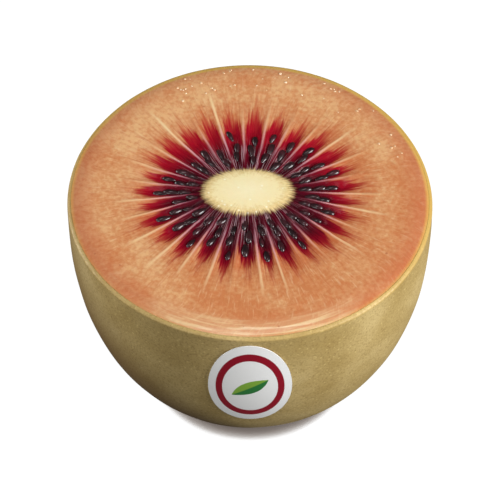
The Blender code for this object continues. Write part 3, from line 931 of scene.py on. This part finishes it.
# %% Towards the skin
GOLD_EVERYWHERE = 0.60
GOLD_TO_BACK = 0.45
GOLD_TO_RIGHT = 0.15
GOLD_WIDER_AT_BACK = 0.008
RIM_STREAK_GRAIN = (3.5, 3.5, 55.0)
REDDER_FADE = {"From Min": 0.80, "From Max": 0.955, "To Min": 0.0, "To Max": 0.66}
LESS_RED_AT_ENDS = 0.50
RED_AT_SIDES = 0.85
REDDER_TONE = "bb6342"
RIM_STREAKS = {"From Min": 0.40, "From Max": 0.66, "To Min": 0.25, "To Max": 0.80}
LIP_HIGHLIGHT_FRONT_FADE = {"From Min": -0.74, "From Max": -0.97, "To Min": 0.0, "To Max": 0.90}
LIP_HIGHLIGHT_RING_FADE = {"From Min": 0.86, "From Max": 0.925, "To Min": 0.0, "To Max": 1.0}
LIP_HIGHLIGHT_TONE = "f0d8a6"
DOT_SPACING_MM = 1.9
DOT_SIZES = {"From Min": 0.60, "From Max": 0.90, "To Min": 0.0, "To Max": 0.12}
DOT_FADE = {"From Min": -0.06, "From Max": 0.0, "To Min": 0.55, "To Max": 0.0}
DOTS_FROM = {"From Min": 0.62, "From Max": 0.72, "To Min": 0.0, "To Max": 1.0}
DOT_TONE = "a8502f"
GOLD_FADE = {"From Min": 0.955, "From Max": 0.978, "To Min": 0.0, "To Max": 0.95}
GOLD_TONE = "d9b05a"

by_skin = add(tree, "ShaderNodeMapRange", SOFT_STEP, {"Value": share, **REDDER_FADE})
more_at_sides = add(
    tree, "ShaderNodeMath", TIMES_PLUS, {0: front_or_back, 1: -LESS_RED_AT_ENDS, 2: RED_AT_SIDES}
)
redder_here = add(tree, "ShaderNodeMath", TIMES, {0: by_skin, 1: more_at_sides})
reddened = add(
    tree, "ShaderNodeMix", COLOURS, {"Factor": redder_here, "A": with_core, "B": tone(REDDER_TONE)}
)
rim_place = add(tree, "ShaderNodeVectorMath", TIMES, {0: rays, 1: RIM_STREAK_GRAIN})
rim_streak = add(tree, "ShaderNodeTexNoise", {}, {"Vector": rim_place, "Scale": 1.0, "Detail": 2.0})
rim_streaky = add(tree, "ShaderNodeMapRange", SOFT_STEP, {"Value": rim_streak, **RIM_STREAKS})
# Painted highlight: pale streaks along the wet front lip, mixed into its colour.
highlight_in_front = add(
    tree, "ShaderNodeMapRange", SOFT_STEP, {"Value": split.outputs["Y"], **LIP_HIGHLIGHT_FRONT_FADE}
)
highlight_ring = add(tree, "ShaderNodeMapRange", SOFT_STEP, {"Value": share, **LIP_HIGHLIGHT_RING_FADE})
highlight_streaks = add(tree, "ShaderNodeMath", TIMES, {0: highlight_ring, 1: rim_streaky})
lip_highlight_share = add(tree, "ShaderNodeMath", TIMES, {0: highlight_streaks, 1: highlight_in_front})
with_lip_highlight = add(
    tree, "ShaderNodeMix", COLOURS, {"Factor": lip_highlight_share, "A": reddened, "B": tone(LIP_HIGHLIGHT_TONE)}
)
dots = add(tree, "ShaderNodeTexVoronoi", {}, {"Vector": in_mm, "Scale": 1 / DOT_SPACING_MM})
dot_size = add(tree, "ShaderNodeMapRange", {}, {"Value": dots.outputs["Color"], **DOT_SIZES})
dot_out = add(tree, "ShaderNodeMath", MINUS, {0: dots.outputs["Distance"], 1: dot_size})
dot_share = add(tree, "ShaderNodeMapRange", {}, {"Value": dot_out, **DOT_FADE})
outside = add(tree, "ShaderNodeMapRange", {}, {"Value": share, **DOTS_FROM})
dots_show = add(tree, "ShaderNodeMath", TIMES, {0: dot_share, 1: outside})
dotted = add(tree, "ShaderNodeMix", COLOURS, {"Factor": dots_show, "A": with_lip_highlight, "B": tone(DOT_TONE)})
to_right = add(
    tree, "ShaderNodeMath", TIMES_PLUS, {0: split.outputs["X"], 1: GOLD_TO_RIGHT, 2: GOLD_EVERYWHERE}
)
gold_here = add(
    tree,
    "ShaderNodeMath",
    {"operation": "MULTIPLY_ADD", "use_clamp": True},
    {0: split.outputs["Y"], 1: GOLD_TO_BACK, 2: to_right},
)
gold_place = add(
    tree, "ShaderNodeMath", TIMES_PLUS, {0: split.outputs["Y"], 1: GOLD_WIDER_AT_BACK, 2: share}
)
gold_line = add(tree, "ShaderNodeMapRange", SOFT_STEP, {"Value": gold_place, **GOLD_FADE})
gold_share = add(tree, "ShaderNodeMath", TIMES, {0: gold_line, 1: gold_here})
flesh_colour = add(
    tree, "ShaderNodeMix", COLOURS, {"Factor": gold_share, "A": dotted, "B": tone(GOLD_TONE)}
)
print("golden line from", round(GOLD_FADE["From Min"] * CUT_R * MM, 1), "mm out")

# %% [markdown]
# Wetness and grain of the flesh
#
# A cut fruit isn't evenly wet. Most of the face only glistens, as its juice lies in the hollows between
# cells that are 0.4 mm wide here, so that they show. There the coat is thin. A film of juice stands
# along the rounded lip, where the coat is whole but for the streaks that run along it. Light also goes
# a short way into the flesh, red furthest, which takes the hardness from the edges of the rays.

# %% Wetness and grain of the flesh
CELLS_MM = 0.42
FRAY_IN_RELIEF = 0.4
CELLS_IN_RELIEF = 0.6
RELIEF_CALMS = {"From Min": 0.84, "From Max": 0.92, "To Min": 0.26, "To Max": 0.08}
CELL_DEPTH = 0.00006
DRYNESS = {"From Min": 0.35, "From Max": 0.65, "To Min": 0.24, "To Max": 0.36}
WET_FILM = {"From Min": 0.90, "From Max": 0.94, "To Min": 0.10, "To Max": 1.0}

cells = add(tree, "ShaderNodeTexVoronoi", {}, {"Vector": in_mm, "Scale": 1 / CELLS_MM})
soft_fray = add(tree, "ShaderNodeMath", TIMES, {0: fray, 1: FRAY_IN_RELIEF})
cell_height = add(tree, "ShaderNodeMath", TIMES_PLUS, {0: cells, 1: CELLS_IN_RELIEF, 2: soft_fray})
calm = add(tree, "ShaderNodeMapRange", {}, {"Value": share, **RELIEF_CALMS})
grainy = add(
    tree, "ShaderNodeBump", {}, {"Strength": calm, "Distance": CELL_DEPTH, "Height": cell_height}
)
dryness = add(tree, "ShaderNodeMapRange", {}, {"Value": fray, **DRYNESS})
wet_film = add(tree, "ShaderNodeMapRange", SOFT_STEP, {"Value": share, **WET_FILM})
streaked_film = add(tree, "ShaderNodeMath", TIMES, {0: wet_film, 1: rim_streaky})
tree.links.new(flesh_colour.outputs["Result"], shader.inputs["Base Color"])
tree.links.new(dryness.outputs["Result"], shader.inputs["Roughness"])
tree.links.new(grainy.outputs["Normal"], shader.inputs["Normal"])
shader.inputs["IOR"].default_value = 1.34
shader.inputs["Specular IOR Level"].default_value = 0.15
shader.inputs["Subsurface Weight"].default_value = 0.12
shader.inputs["Subsurface Radius"].default_value = (1.0, 0.45, 0.25)
shader.inputs["Subsurface Scale"].default_value = 0.0005
tree.links.new(streaked_film.outputs["Value"], shader.inputs["Coat Weight"])
shader.inputs["Coat Roughness"].default_value = 0.10
shader.inputs["Coat IOR"].default_value = 1.60
finish_piece("flesh", flesh_shape, flesh_finish, "kiwi_half")

# %% [markdown]
# The seeds
#
# A kiwi seed is a small flattened egg with a hard, smooth, brown black coat that shines when wet. Bmesh
# makes a sphere of a hundred or so faces for each, which is turned to lie along X, tapered towards the
# core, sized and moved to its place. All of them are one piece, because a seed is never handled alone.

# %% Seed shape and finish
SEED_SIDES = 14
SEED_RINGS = 9
SEED_FLATNESS = 0.9
SEED_MOTTLE_PER_MM = 0.9
SEED_TONES = [(0.35, "1c0a0d"), (0.55, "2e1015"), (0.75, "451a22")]

seed_shape = bmesh.new()
for centre, angle, size in SEEDS:
    egg = bmesh.ops.create_uvsphere(seed_shape, u_segments=SEED_SIDES, v_segments=SEED_RINGS, radius=0.5)
    bmesh.ops.rotate(seed_shape, verts=egg["verts"], matrix=Matrix.Rotation(math.pi / 2, 3, "Y"))
    for vertex in egg["verts"]:
        taper = 1 + SEED_TAPER * vertex.co.x
        vertex.co.y *= taper
        vertex.co.z *= taper
    stretch = (SEED_LENGTH * size, SEED_WIDTH * size, SEED_WIDTH * SEED_FLATNESS * size)
    bmesh.ops.scale(seed_shape, verts=egg["verts"], vec=stretch)
    bmesh.ops.rotate(seed_shape, verts=egg["verts"], matrix=Matrix.Rotation(angle, 3, "Z"))
    bmesh.ops.translate(seed_shape, verts=egg["verts"], vec=centre)

seed_finish, tree, shader = new_finish("kiwi_seed_coat")
place = add(tree, "ShaderNodeTexCoord").outputs["Object"]
mottle = add(
    tree, "ShaderNodeTexNoise", {}, {"Vector": place, "Scale": SEED_MOTTLE_PER_MM * MM, "Detail": 2.0}
)
coat_colour = add(tree, "ShaderNodeValToRGB", {}, {"Fac": mottle}, stops=SEED_TONES)
tree.links.new(coat_colour.outputs["Color"], shader.inputs["Base Color"])
shader.inputs["Roughness"].default_value = 0.42
shader.inputs["IOR"].default_value = 1.40
shader.inputs["Coat Weight"].default_value = 0.70
shader.inputs["Coat Roughness"].default_value = 0.06
finish_piece("seeds", seed_shape, seed_finish, "kiwi_half")

# %% [markdown]
# Beads of juice
#
# Juice stands on a fresh cut in small beads, most of them just inside the skin at the back and the
# right. Each is a low dome, half sunk. On real fruit it is clear, and the eye sees the flesh through it
# and a hard glint on it. At this size a coat over the flesh's own pale colour shows the same, and it
# isn't dark at its edge as a lens of glass would be.

# %% Juice shape and finish
BEADS = 44
BEAD_SIZES = (0.00008, 0.00019)
BEAD_LOWNESS = 0.6
BEAD_TURNS = (math.radians(15), math.radians(120))
BEAD_SHARES = (0.78, 0.955)
JUICE_MOTTLE_PER_MM = 0.5
JUICE_TONES = [(0.35, "e4b88a"), (0.65, "f0d4ae")]

juice_shape = bmesh.new()
draw = random.Random(RANDOM_SEED + 2)
for _ in range(BEADS):
    turn = draw.uniform(*BEAD_TURNS)
    share = draw.uniform(*BEAD_SHARES)
    size = draw.uniform(*BEAD_SIZES)
    x, y = face_point(share, turn)
    z = CUT_Z + face_relief(share, 0.0) - lip_fall(share * CUT_R)
    bead = bmesh.ops.create_icosphere(juice_shape, subdivisions=3, radius=size)
    bmesh.ops.scale(juice_shape, verts=bead["verts"], vec=(1.0, 1.0, BEAD_LOWNESS))
    bmesh.ops.translate(juice_shape, verts=bead["verts"], vec=swollen(x, y, z, turn))

juice_finish, tree, shader = new_finish("kiwi_juice")
place = add(tree, "ShaderNodeTexCoord").outputs["Object"]
pulp = add(tree, "ShaderNodeTexNoise", {}, {"Vector": place, "Scale": JUICE_MOTTLE_PER_MM * MM})
tint = add(tree, "ShaderNodeValToRGB", {}, {"Fac": pulp}, stops=JUICE_TONES)
tree.links.new(tint.outputs["Color"], shader.inputs["Base Color"])
shader.inputs["Roughness"].default_value = 0.08
shader.inputs["IOR"].default_value = 1.36
shader.inputs["Coat Weight"].default_value = 1.0
shader.inputs["Coat Roughness"].default_value = 0.05
finish_piece("juice", juice_shape, juice_finish, "kiwi_half")

# %% [markdown]
# The dried flower
#
# The end that the fruit stands on keeps what is left of its flower: a hard brown button in the middle
# of the crater, with a ring of short dry styles. It shows only when the fruit is picked up. The button
# is a cone with its rim bevelled, and each style is a thin tapering cone that leans outwards.

# %% Flower shape
BUTTON_R = 0.0021
BUTTON_TOP_R = 0.0017
BUTTON_RISE = 0.0006
STYLES = 30
STYLE_LENGTH = 0.0013
STYLE_R = 0.00012
STYLE_RING_R = 0.0019
BUTTON_SIDES = 40
BUTTON_SUNK = 0.45 * BUTTON_RISE
BUTTON_BEVEL = 0.00015
STYLE_SIDES = 6
STYLE_TIP = 0.4
STYLE_STRAY = 0.3
STYLE_LEANS = (96, 118)
STYLE_LENGTHS = (0.7, 1.1)
STYLE_ROOTS = (0.75, 1.0)
STYLE_SUNK = 0.4 * BUTTON_RISE

flower_shape = bmesh.new()
bmesh.ops.create_cone(
    flower_shape,
    cap_ends=True,
    segments=BUTTON_SIDES,
    radius1=BUTTON_TOP_R,
    radius2=BUTTON_R,
    depth=BUTTON_RISE,
    matrix=Matrix.Translation((0.0, 0.0, CRATER_DEPTH - BUTTON_SUNK)),
)
bmesh.ops.bevel(
    flower_shape,
    geom=list(flower_shape.edges),
    offset=BUTTON_BEVEL,
    affect="EDGES",
    segments=2,
    profile=0.5,
    material=-1,
)
draw = random.Random(RANDOM_SEED + 3)
for number in range(STYLES):
    turn = 2 * math.pi * (number + draw.uniform(-STYLE_STRAY, STYLE_STRAY)) / STYLES
    lean = math.radians(draw.uniform(*STYLE_LEANS))
    length = STYLE_LENGTH * draw.uniform(*STYLE_LENGTHS)
    style = bmesh.ops.create_cone(
        flower_shape,
        cap_ends=True,
        segments=STYLE_SIDES,
        radius1=STYLE_R,
        radius2=STYLE_TIP * STYLE_R,
        depth=length,
        matrix=Matrix.Translation((0.0, 0.0, 0.5 * length)),
    )
    bmesh.ops.rotate(flower_shape, verts=style["verts"], matrix=Matrix.Rotation(lean, 3, "Y"))
    foot = (STYLE_RING_R * draw.uniform(*STYLE_ROOTS), 0.0, CRATER_DEPTH - STYLE_SUNK)
    bmesh.ops.translate(flower_shape, verts=style["verts"], vec=foot)
    bmesh.ops.rotate(flower_shape, verts=style["verts"], matrix=Matrix.Rotation(turn, 3, "Z"))
print(STYLES, "dry styles round the button")

# %% Flower finish
CORK_PER_MM = 2.5
CORK_TONES = [(0.30, "2f2013"), (0.55, "5b4326"), (0.75, "7d6238")]
CRUST_STRENGTH = 0.8
CRUST_DEPTH = 0.0001

flower_finish, tree, shader = new_finish("dried_flower_cork")
place = add(tree, "ShaderNodeTexCoord").outputs["Object"]
fibres = add(
    tree, "ShaderNodeTexNoise", {}, {"Vector": place, "Scale": CORK_PER_MM * MM, "Detail": 4.0}
)
cork = add(tree, "ShaderNodeValToRGB", {}, {"Fac": fibres}, stops=CORK_TONES)
crust = add(
    tree, "ShaderNodeBump", {}, {"Strength": CRUST_STRENGTH, "Distance": CRUST_DEPTH, "Height": fibres}
)
tree.links.new(cork.outputs["Color"], shader.inputs["Base Color"])
tree.links.new(crust.outputs["Normal"], shader.inputs["Normal"])
shader.inputs["Roughness"].default_value = 0.85
finish_piece("dried_flower", flower_shape, flower_finish, "kiwi_half")

# %% [markdown]
# The label
#
# The label is a small oval of coated paper, stuck to the skin below the cut. A disc of even rings is
# spun, then each of its points is laid on the skin, so that it bends both ways as paper on a fruit
# does. Its UV map is the flat disc, in which the print is drawn.

# %% Label shape
LABEL_WIDTH = 0.0105
LABEL_HEIGHT = 0.0178
LABEL_BELOW_CUT = 0.0103
LABEL_THICK = 0.00008
LABEL_LIFT = 0.00005
LABEL_RINGS = 16
LABEL_SIDES = 96
FRONT = math.radians(-90)
SLOPE_STEP = 1e-4


def skin_place(sideways, below_cut, proud):
    """A point this far outside the skin, sideways from the front and down from the cut."""
    from_equator = CUT_ABOVE_EQUATOR - below_cut
    radius = skin_radius(from_equator)
    slope = skin_radius(from_equator + SLOPE_STEP) - skin_radius(from_equator - SLOPE_STEP)
    slope /= 2 * SLOPE_STEP
    angle = FRONT + sideways / radius
    round_way = Vector((math.cos(angle), math.sin(angle), 0.0))
    height = Vector((0.0, 0.0, EQUATOR_Z + from_equator))
    on_skin = round_way * radius * unevenness(angle, height.z) + height
    outward = (round_way - Vector((0.0, 0.0, slope))).normalized()
    return on_skin + outward * proud


label_shape = spun([(share, 0.0) for share in [0.0] + steps(0.0, 1.0, LABEL_RINGS)], LABEL_SIDES)
print_map = label_shape.loops.layers.uv.new("print")
for face in label_shape.faces:
    for corner in face.loops:
        corner[print_map].uv = (0.5 + 0.5 * corner.vert.co.x, 0.5 + 0.5 * corner.vert.co.y)
front = list(label_shape.verts)
back = bmesh.ops.extrude_face_region(label_shape, geom=list(label_shape.faces))["geom"]
back = {part for part in back if isinstance(part, bmesh.types.BMVert)}
for vertex in label_shape.verts:
    sideways = 0.5 * LABEL_WIDTH * vertex.co.x
    below_cut = LABEL_BELOW_CUT - 0.5 * LABEL_HEIGHT * vertex.co.y
    lift = LABEL_LIFT if vertex in back else LABEL_LIFT + LABEL_THICK
    vertex.co = skin_place(sideways, below_cut, lift)
bmesh.ops.recalc_face_normals(label_shape, faces=label_shape.faces)
print("label", LABEL_WIDTH * MM, "by", LABEL_HEIGHT * MM, "mm, of", len(front) + len(back), "points")

# %% [markdown]
# Print of the label
#
# The print is a plain one: a crimson ring round a green leaf on white. It could be a picture, but nodes
# draw such simple shapes sharp at any size. The UV map is centred, so the ring is where the distance from
# the middle is nearly its radius. The leaf is a place turned to lie along the leaf, where the distance
# aside is less than a half width that falls off as a parabola does.

# %% Print of the label
RING_MIDDLE = 0.74
RING_HALF = 0.085
LEAF_TURN = math.radians(38)
LEAF_HALF_LENGTH = 0.56
LEAF_HALF_WIDTH = 0.24
INK_EDGE = 0.012
HEIGHT_TO_WIDTH = LABEL_HEIGHT / LABEL_WIDTH
RING_FADE = {"From Min": RING_HALF - INK_EDGE, "From Max": RING_HALF, "To Min": 1.0, "To Max": 0.0}
PAPER_WHITE = "fcfcfa"
RING_CRIMSON = "970d24"

label_finish, tree, shader = new_finish("label_coated_paper")
flat = add(tree, "ShaderNodeUVMap", {"uv_map": "print"})
centred = add(
    tree, "ShaderNodeVectorMath", TIMES_PLUS, {0: flat, 1: (2.0, 2.0, 0.0), 2: (-1.0, -1.0, 0.0)}
)
from_centre = add(tree, "ShaderNodeVectorMath", {"operation": "LENGTH"}, {0: centred})
from_ring = add(tree, "ShaderNodeMath", MINUS, {0: from_centre.outputs["Value"], 1: RING_MIDDLE})
ring_gap = add(tree, "ShaderNodeMath", {"operation": "ABSOLUTE"}, {0: from_ring})
in_ring = add(tree, "ShaderNodeMapRange", {}, {"Value": ring_gap, **RING_FADE})
with_ring = add(
    tree, "ShaderNodeMix", COLOURS, {"Factor": in_ring, "A": tone(PAPER_WHITE), "B": tone(RING_CRIMSON)}
)
print("ring", round(RING_HALF * LABEL_WIDTH * MM, 1), "mm wide at the sides")

# %% Leaf on the label
LEAF_FADE = {"From Min": -INK_EDGE, "From Max": 0.0, "To Min": 1.0, "To Max": 0.0}
VEIN_FADE = {"From Min": -0.01, "From Max": 0.01, "To Min": 0.0, "To Max": 1.0}
LEAF_DARK = "2e7d3c"
LEAF_LIGHT = "86b440"
PAPER_GRAIN_PER_MM = 1.8
PAPER_STRENGTH = 0.2
PAPER_DEPTH = 0.00003

leaf_even = add(tree, "ShaderNodeVectorMath", TIMES, {0: centred, 1: (1.0, HEIGHT_TO_WIDTH, 1.0)})
leaf_turned = add(
    tree,
    "ShaderNodeVectorRotate",
    {"rotation_type": "Z_AXIS"},
    {"Vector": leaf_even, "Angle": -LEAF_TURN},
)
leaf_split = add(tree, "ShaderNodeSeparateXYZ", {}, {0: leaf_turned})
leaf_along = add(tree, "ShaderNodeMath", TIMES, {0: leaf_split.outputs["X"], 1: 1 / LEAF_HALF_LENGTH})
leaf_square = add(tree, "ShaderNodeMath", {"operation": "POWER"}, {0: leaf_along, 1: 2.0})
leaf_width = add(
    tree, "ShaderNodeMath", TIMES_PLUS, {0: leaf_square, 1: -LEAF_HALF_WIDTH, 2: LEAF_HALF_WIDTH}
)
leaf_aside = add(tree, "ShaderNodeMath", {"operation": "ABSOLUTE"}, {0: leaf_split.outputs["Y"]})
leaf_past = add(tree, "ShaderNodeMath", MINUS, {0: leaf_aside, 1: leaf_width})
in_leaf = add(tree, "ShaderNodeMapRange", {}, {"Value": leaf_past, **LEAF_FADE})
halves = add(tree, "ShaderNodeMapRange", {}, {"Value": leaf_split.outputs["Y"], **VEIN_FADE})
leaf_green = add(
    tree, "ShaderNodeMix", COLOURS, {"Factor": halves, "A": tone(LEAF_DARK), "B": tone(LEAF_LIGHT)}
)
label_colour = add(tree, "ShaderNodeMix", COLOURS, {"Factor": in_leaf, "A": with_ring, "B": leaf_green})
paper_place = add(tree, "ShaderNodeTexCoord").outputs["Object"]
paper = add(
    tree,
    "ShaderNodeTexNoise",
    {},
    {"Vector": paper_place, "Scale": PAPER_GRAIN_PER_MM * MM, "Detail": 3.0},
)
fibre = add(
    tree, "ShaderNodeBump", {}, {"Strength": PAPER_STRENGTH, "Distance": PAPER_DEPTH, "Height": paper}
)
tree.links.new(label_colour.outputs["Result"], shader.inputs["Base Color"])
tree.links.new(fibre.outputs["Normal"], shader.inputs["Normal"])
shader.inputs["Roughness"].default_value = 0.38
shader.inputs["IOR"].default_value = 1.50
finish_piece("paper_label", label_shape, label_finish, "label")

# %% [markdown]
# The camera
#
# The cut is seen from 49 degrees above its plane, from about twenty radii away, so the far rim is only
# a little smaller than the near one. A long lens frames the fruit alone. The camera aims a little below
# the middle of the cut, which puts the whole half in the frame without any lens shift.

# %% Camera
VIEW_ELEVATION = math.radians(49)
VIEW_DISTANCE = 20 * EQUATOR_R
FRAME_WIDTH = 0.0629
AIM_BELOW = 0.0068

cut_middle = Vector((0.0, 0.0, CUT_Z))
towards = Vector((0.0, -math.cos(VIEW_ELEVATION), math.sin(VIEW_ELEVATION)))
view_up = Vector((0.0, math.sin(VIEW_ELEVATION), math.cos(VIEW_ELEVATION)))
camera_data = bpy.data.cameras.new("camera")
camera_data.lens = camera_data.sensor_width * VIEW_DISTANCE / FRAME_WIDTH
camera_data.clip_start = 0.01
camera = bpy.data.objects.new("camera", camera_data)
camera.location = cut_middle + towards * VIEW_DISTANCE
aim = cut_middle - view_up * AIM_BELOW
camera.rotation_euler = (camera.location - aim).to_track_quat("Z", "Y").to_euler()
bpy.context.scene.collection.objects.link(camera)
bpy.context.scene.camera = camera
print("lens", round(camera_data.lens), "mm")

# %% [markdown]
# The light
#
# A product table has a pale sweep and large soft lights. The key stands to the right and in front, so
# the right side of the skin is bright, and a weak fill opens the left side. A small light overhead
# draws the wet line along the front lip. It mustn't stand further back, where the flat cut would mirror
# it as haze over the dark rays. A weak light, low on the left and a little behind, gives the thin grey
# edge there. The world is nearly dark, so that the skin has a dark side. The view transform is the
# plain one, so that a white sweep stays white.

# %% Lights and surroundings
WORLD_TONE = "f4f4f6"
WORLD_STRENGTH = 0.07


def soft_light(name, place, width, depth, watts):
    """A flat area light that faces the fruit."""
    data = bpy.data.lights.new(name, "AREA")
    data.shape = "RECTANGLE"
    data.size = width
    data.size_y = depth
    data.energy = watts
    lamp = bpy.data.objects.new(name, data)
    lamp.location = place
    lamp.rotation_euler = (Vector(place) - cut_middle).to_track_quat("Z", "Y").to_euler()
    bpy.context.scene.collection.objects.link(lamp)


soft_light("key", place=(0.52, -0.20, 0.28), width=0.35, depth=0.35, watts=5.7)
soft_light("fill", place=(-0.30, -0.48, 0.32), width=0.35, depth=0.35, watts=1.35)
soft_light("overhead", place=(-0.03, 0.02, 0.60), width=0.30, depth=0.14, watts=0.45)
soft_light("edge", place=(-0.46, 0.14, 0.13), width=0.25, depth=0.25, watts=1.75)

bpy.context.scene.view_settings.view_transform = "Standard"
world = bpy.data.worlds.new("surroundings")
world.use_nodes = True
background = world.node_tree.nodes["Background"]
background.inputs["Color"].default_value = tone(WORLD_TONE)
background.inputs["Strength"].default_value = WORLD_STRENGTH
bpy.context.scene.world = world
print(len(bpy.data.lights), "lights")

# %% [markdown]
# The sweep
#
# A white sheet that shows as pure white is usually a light table: a translucent sheet lit from below as
# well as from above. So the sheet has some light of its own, and near the foot of the fruit that light
# is cut off, which ambient occlusion gives. As black cards would do in a studio, the sheet is kept from
# lighting the fruit, whose skin would otherwise lose its dark side.

# %% Sweep
SHADE_REACH = 0.0033
SWEEP_GLOW = 1.0
SWEEP_HALF = 2.0
SWEEP_TONE = "404040"
SHADE_TONES = [(0.0, "2a221e"), (0.56, "675c55"), (0.72, "a59c96"), (0.82, "ffffff")]

sweep_shape = bmesh.new()
bmesh.ops.create_grid(sweep_shape, x_segments=1, y_segments=1, size=SWEEP_HALF)
sweep_mesh = bpy.data.meshes.new("floor")
sweep_shape.to_mesh(sweep_mesh)
sweep_shape.free()
sweep_finish, tree, shader = new_finish("light_table")
open_sky = add(tree, "ShaderNodeAmbientOcclusion", {}, {"Distance": SHADE_REACH})
glow = add(tree, "ShaderNodeValToRGB", {}, {"Fac": open_sky.outputs["AO"]}, stops=SHADE_TONES)
tree.links.new(glow.outputs["Color"], shader.inputs["Emission Color"])
shader.inputs["Emission Strength"].default_value = SWEEP_GLOW
shader.inputs["Base Color"].default_value = tone(SWEEP_TONE)
shader.inputs["Roughness"].default_value = 0.8
sweep_mesh.materials.append(sweep_finish)
floor = bpy.data.objects.new("floor", sweep_mesh)
bpy.context.scene.collection.objects.link(floor)
floor.visible_diffuse = False
floor.visible_glossy = False
print("floor", 2 * SWEEP_HALF, "m across")
